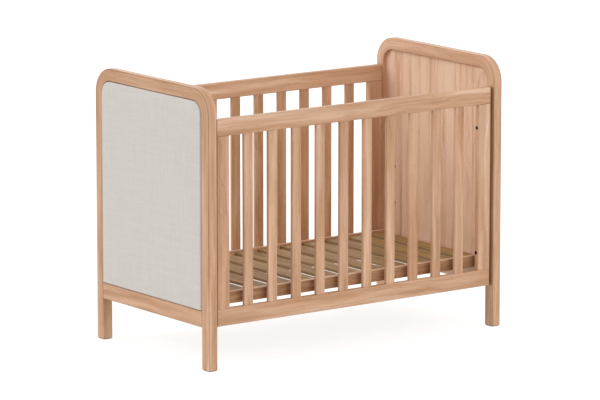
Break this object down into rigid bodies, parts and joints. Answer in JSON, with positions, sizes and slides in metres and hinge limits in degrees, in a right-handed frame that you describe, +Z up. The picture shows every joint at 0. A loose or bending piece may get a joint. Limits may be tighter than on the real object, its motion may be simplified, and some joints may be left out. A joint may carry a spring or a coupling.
{
  "type": "baby crib",
  "caption": "Wooden baby crib with rounded upholstered ends, fixed slatted sides and a slatted mattress base that can be set at several heights.",
  "frame": {"origin": "on the floor, under the middle of the crib", "axes": "+X along the crib towards the right-hand end, +Y from the front side to the back side, +Z up"},
  "size_m": [1.29, 0.688, 0.972],
  "materials": {
    "beech": "matt lacquered light wood, grain along each piece",
    "beech_boards": "matt lacquered boards, grain upright, each board its own tint",
    "base_slats": "plain planed softwood",
    "plywood": "unfinished plywood",
    "dowels": "raw fluted dowel",
    "upholstery": "off-white woven linen over thin foam",
    "felt": "brown felt",
    "black_steel": "black oxide",
    "zinc_steel": "zinc plated"
  },
  "bodies": {
    "crib_frame": {"base_bolt_inserts": "zinc_steel", "end_left_backing_panel": "plywood", "end_left_bottom_rail": "beech", "end_left_corner_back": "beech", "end_left_corner_front": "beech", "end_left_fabric_pad": "upholstery", "end_left_inner_boards": "beech_boards", "end_left_post_back": "beech", "end_left_post_front": "beech", "end_left_top_rail": "beech", "end_right_backing_panel": "plywood", "end_right_bottom_rail": "beech", "end_right_corner_back": "beech", "end_right_corner_front": "beech", "end_right_fabric_pad": "upholstery", "end_right_inner_boards": "beech_boards", "end_right_post_back": "beech", "end_right_post_front": "beech", "end_right_top_rail": "beech", "foot_glides": "felt", "frame_dowels": "dowels", "side_back_bottom_rail": "beech", "side_back_slat_01": "beech", "side_back_slat_02": "beech", "side_back_slat_03": "beech", "side_back_slat_04": "beech", "side_back_slat_05": "beech", "side_back_slat_06": "beech", "side_back_slat_07": "beech", "side_back_slat_08": "beech", "side_back_slat_09": "beech", "side_back_slat_10": "beech", "side_back_stile_left": "beech", "side_back_stile_right": "beech", "side_back_top_rail": "beech", "side_bolt_inserts": "zinc_steel", "side_bolts": "black_steel", "side_front_bottom_rail": "beech", "side_front_slat_01": "beech", "side_front_slat_02": "beech", "side_front_slat_03": "beech", "side_front_slat_04": "beech", "side_front_slat_05": "beech", "side_front_slat_06": "beech", "side_front_slat_07": "beech", "side_front_slat_08": "beech", "side_front_slat_09": "beech", "side_front_slat_10": "beech", "side_front_stile_left": "beech", "side_front_stile_right": "beech", "side_front_top_rail": "beech"},
    "mattress_base": {"base_bolts": "black_steel", "base_dowels": "dowels", "base_rail_back": "beech", "base_rail_front": "beech", "base_rail_left": "beech", "base_rail_right": "beech", "base_slat_screws": "zinc_steel", "base_slats": "base_slats"}
  },
  "joints": [
    {"name": "base_height", "type": "slide", "parent": "crib_frame", "child": "mattress_base", "axis": [0, 0, 1], "range_m": [0, 0.268]}
  ]
}
